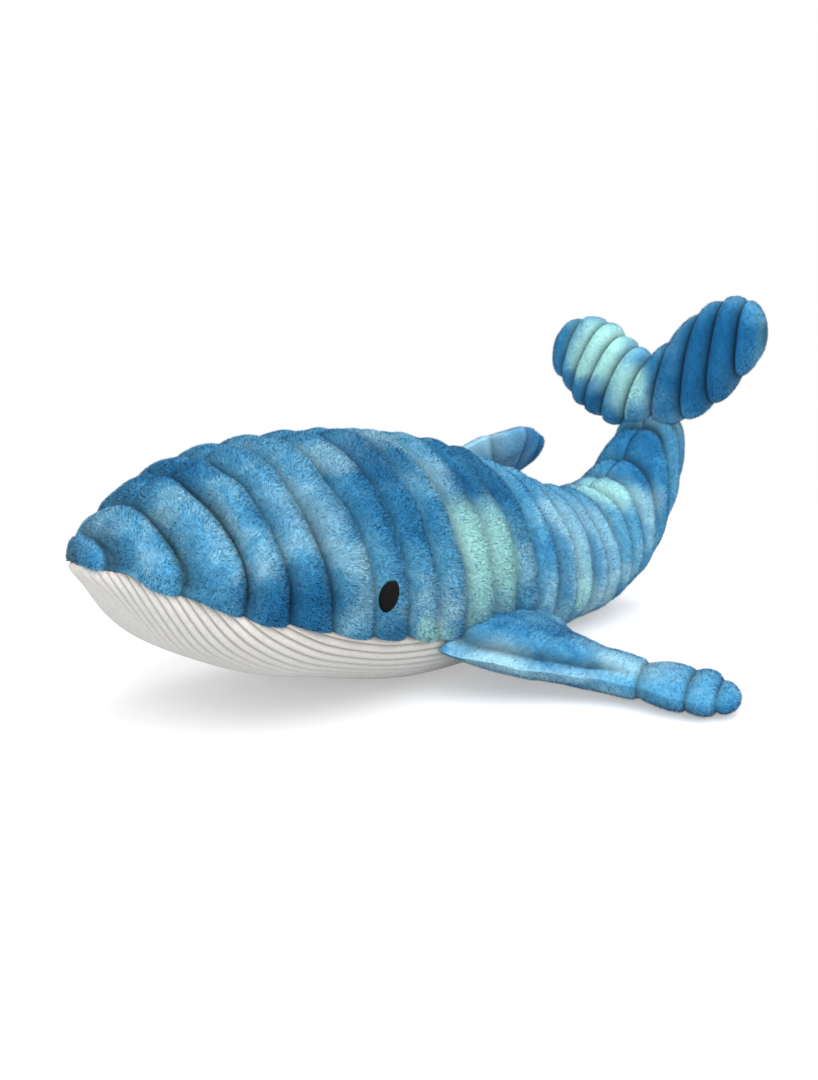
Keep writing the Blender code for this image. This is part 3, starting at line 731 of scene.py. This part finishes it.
def fin_form(side, span, rises, sweeps, breadth, aft, joint):
    """Where the corners of a fin's grid go, once round the fin and out along it."""
    axis = np.array(joint["axis"])
    along_root = axis / np.linalg.norm(axis) * np.sign(axis[0])
    out = np.cross(along_root, (0, 0, 1)) * -side
    out /= np.linalg.norm(out)
    up = np.cross(out, along_root) * -side
    up *= np.sign(up[2])
    shares = np.linspace(0, 1, 200)
    rise = np.radians(follow([0, .5, 1], rises, shares))[:, None]
    sweep = np.radians(follow([0, .25, .5, 1], sweeps, shares))[:, None]
    leaving = out * np.cos(rise) + up * np.sin(rise)
    span_way = leaving * np.cos(sweep) + along_root * np.sin(sweep)
    chord_way = along_root * np.cos(sweep) - leaving * np.sin(sweep)
    thick_way = up * np.cos(rise) - out * np.sin(rise)
    steps = span_way * span / (len(shares) - 1)
    line = np.array(joint["pos_m"]) + np.cumsum(steps, 0) - steps[0]
    edges = np.linspace(0, span, round(span / fin_rib_pitch) + 1)
    edges[0] = -fin_root_radius
    edges = np.insert(edges, -1, span - 0.011)

    def placed(across, along):
        reach, hollow, rim, rib = along_ribs(along, edges)
        share = np.clip(reach / span, 0, 1)
        plain = np.clip((share - 0.35) / 0.40, 0.15, 0.65) if side < 0 else 0.5
        hollow = hollow * (rib > 0) * plain
        held = np.minimum(share, 0.92)
        end = np.sqrt(np.maximum(1 - np.clip((share - 0.88) / 0.12, 0, 1) ** 2, 0))
        front = fin_root_chord * follow(fin_shares, fin_front_shares, held)
        back = fin_root_chord * follow(fin_shares, fin_back_shares, held)
        thick = fin_root_radius * follow(fin_shares, fin_thick_shares, held)
        grown = np.clip(share / 0.3, 0, 1)
        half = ((back - front) / 2 * (1 + (breadth - 1) * grown) - pile_sink - 0.0030 * hollow) * end
        turn = math.tau * across
        fold = np.exp(-((turn - 2.35) / 0.20) ** 2) * np.clip((0.62 - share) / 0.2, 0, 1) * (side < 0)
        tall = (thick + fin_rib_depth * (1 - hollow) - pile_sink - 0.005 * fold) * end
        side_way = np.sign(np.cos(turn)) * np.abs(np.cos(turn)) * half + (front + back) / 2 + aft * grown
        keen = 1.05 + 1.1 * np.clip(-np.cos(turn), 0, 1) * (1 - share)
        lift = np.sign(np.sin(turn)) * np.abs(np.sin(turn)) ** keen * tall
        frames = []
        for way in (line, chord_way, thick_way):
            frames.append(np.stack([np.interp(share, shares, way[:, k]) for k in range(3)], -1))
        places = frames[0] + frames[1] * side_way[:, None] + frames[2] * lift[:, None]
        places += np.minimum(reach, 0)[:, None] * span_way[0]
        places += unevenness(places, 0.03, 31 + side)[:, None] * 0.0008 * frames[2]
        if side < 0:
            places[:, 2] = np.maximum(places[:, 2], 0.0015)
        # The crown mark here is painted shade in the rib grooves and along the near fin's fold, and a painted
        # highlight on the ribs' rear rims
        crown = np.maximum(1 - hollow - 0.8 * fold, 0) + rim_highlight_gain * rim * plain * (rib > 0)
        return places, {"crown": crown}

    return placed, line, span_way


fin_forms = {word: fin_form(*form, joints[word + "_fin_flap"]) for word, form in fins.items()}
far_line = fin_forms["right"][1]
fin_clouds = [
    ((0.024, -0.120, 0.030), (0.040, 0.034, 0.060), BLUE, 0.60),
    ((0.004, -0.104, 0.036), (0.026, 0.020, 0.020), DEEP, 0.60),
    ((0.000, -0.140, 0.030), (0.016, 0.030, 0.060), PALE, 0.45),
    ((0.020, -0.180, 0.030), (0.030, 0.030, 0.060), BLUE, 0.45),
    ((-0.056, -0.098, 0.018), (0.026, 0.040, 0.022), PALE, 0.85),
    ((-0.032, -0.128, 0.014), (0.020, 0.036, 0.014), PALE, 0.75),
    (tuple(far_line[120]), (0.070, 0.060, 0.060), PALE, 0.85),
    (tuple(far_line[100]), (0.040, 0.040, 0.040), MINT, 0.45),
    (tuple(far_line[-1] + (0.010, 0, -0.012)), (0.030, 0.030, 0.034), DEEP, 0.90),
]
fin_dye = dye_group("fin_dye", fin_clouds)
fin_cloth = dyed("fin_plush_cloth", fin_dye, False)
fin_strands = dyed("fin_plush_strands", fin_dye, True)

for word, (placed, line, span_way) in fin_forms.items():
    side, span = fins[word][:2]
    rows = (round(span / fin_rib_pitch) + 1) * fin_rows
    skin = grid_piece(word + "_fin_cloth", fin_columns, rows, placed, fin_cloth)

    def along_fin(roots):
        near = np.argmin(((roots[:, None] - line[None, ::8]) ** 2).sum(-1), 1)
        return span_way[::8][near]

    coat = pile(word + "_fin_pile", skin, fin_strands_each, along_fin, fin_strands, 41 + side)
    closed(skin)
    for piece in (skin, coat):
        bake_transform(piece)
    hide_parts(word + "_fin_upper_panel", word + "_fin_lower_panel", word + "_fin_filling")

# Flukes
# Both flukes are one cushion with a notch in the middle: a dyed top panel, whose ribs stand
# upright, and a paler one behind it, sewn on across the end of the tail.
fluke_span = 0.188
fluke_top_height = 0.2277
fluke_thickness = 0.044
fluke_roll_deg = 3.8
fluke_shares = [0, .10, .27, .40, .55, .70, .82, .92, 1]
fluke_upper_shares = [.54, .63, .777, .888, .963, 1, .972, .897, .760]
fluke_lower_shares = [-.06, -.05, -.03, .01, .08, .19, .33, .47, .66]
fluke_thick_shares = [.92, .95, 1, 1, .97, .90, .80, .64, .30]
fluke_rows = 12
fluke_strands_all = 110000
fluke_columns = 64
fluke_lean = (0.30, 0.18)
fluke_edges = np.array([-.094, -.077, -.058, -.038, -.014, .009, .027, .043, .059, .075, .094])
fluke_clouds = [
    ((0.235, 0.040, 0.195), (0.040, 0.036, 0.036), MINT, 0.95),
    ((0.235, 0.010, 0.165), (0.040, 0.026, 0.026), MINT, 0.85),
    ((0.235, 0.086, 0.185), (0.040, 0.014, 0.040), BLUE, 0.90),
    ((0.235, 0.062, 0.166), (0.040, 0.034, 0.014), BLUE, 0.80),
    ((0.230, -0.060, 0.190), (0.030, 0.055, 0.060), DEEP, 0.85),
    ((0.235, -0.022, 0.155), (0.040, 0.020, 0.022), DEEP, 0.50),
    ((0.270, -0.060, 0.190), (0.016, 0.090, 0.090), MINT, 0.90),
]
fluke_dye = dye_group("fluke_dye", fluke_clouds)
fluke_cloth = dyed("fluke_plush_cloth", fluke_dye, False)
fluke_strands = dyed("fluke_plush_strands", fluke_dye, True)


def fluke_places(across, along):
    """Where the corners of the flukes' grid go, once round a lobe and on across both."""
    run, hollow, rim, rib = along_ribs(along, fluke_edges)
    turn = math.tau * across
    steep = fluke_lean[0] + fluke_lean[1] * np.clip(run / 0.05, -1, 1)
    steep = steep * (1 - np.clip(np.abs(run) / fluke_edges[-1], 0, 1) ** 4)
    y = run
    for _ in range(4):
        share = np.abs(y) / (fluke_span / 2)
        end = np.sqrt(np.maximum(1 - np.clip((share - 0.86) / 0.14, 0, 1) ** 2, 0.0))
        held = np.minimum(share, 0.90)
        tall = fluke_top_height - fluke_foot.z
        rise = fluke_foot.z - y * math.tan(math.radians(fluke_roll_deg))
        low = rise + tall * follow(fluke_shares, fluke_lower_shares, held)
        high = rise + tall * follow(fluke_shares, fluke_upper_shares, held)
        half = ((high - low) / 2 - 0.0045 * hollow) * end
        up = np.sign(np.sin(turn)) * np.abs(np.sin(turn)) ** 0.85 * half
        y = np.clip(run - steep * up, -fluke_span / 2, fluke_span / 2)
    thick = fluke_thickness / 2 * follow(fluke_shares, fluke_thick_shares, held)
    wide = (thick - pile_sink - 0.0060 * hollow) * end
    x = np.sign(np.cos(turn)) * np.abs(np.cos(turn)) ** 0.85 * wide
    places = np.stack([fluke_foot.x - x, y, (low + high) / 2 + up], -1)
    places += unevenness(places, 0.035, 51)[:, None] * 0.0008 * np.array([1, 0, 1])
    # The crown mark here is painted shade in the grooves and a painted highlight on each rib's rear rim
    return places, {"crown": 1 - hollow + rim_highlight_gain * rim}


def along_flukes(roots):
    """The flukes' pile lies out towards their tips, and hangs a little."""
    return np.stack([0 * roots[:, 0], np.sign(roots[:, 1]) * 0.5, 0 * roots[:, 0] - 0.5], -1)


rows = (len(fluke_edges) - 1) * fluke_rows
skin = grid_piece("fluke_cloth", fluke_columns, rows, fluke_places, fluke_cloth)
coat = pile("fluke_pile", skin, fluke_strands_all, along_flukes, fluke_strands, 61)
closed(skin)
for piece in (skin, coat):
    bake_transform(piece)
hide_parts("fluke_top_panel", "fluke_bottom_panel", "fluke_filling")
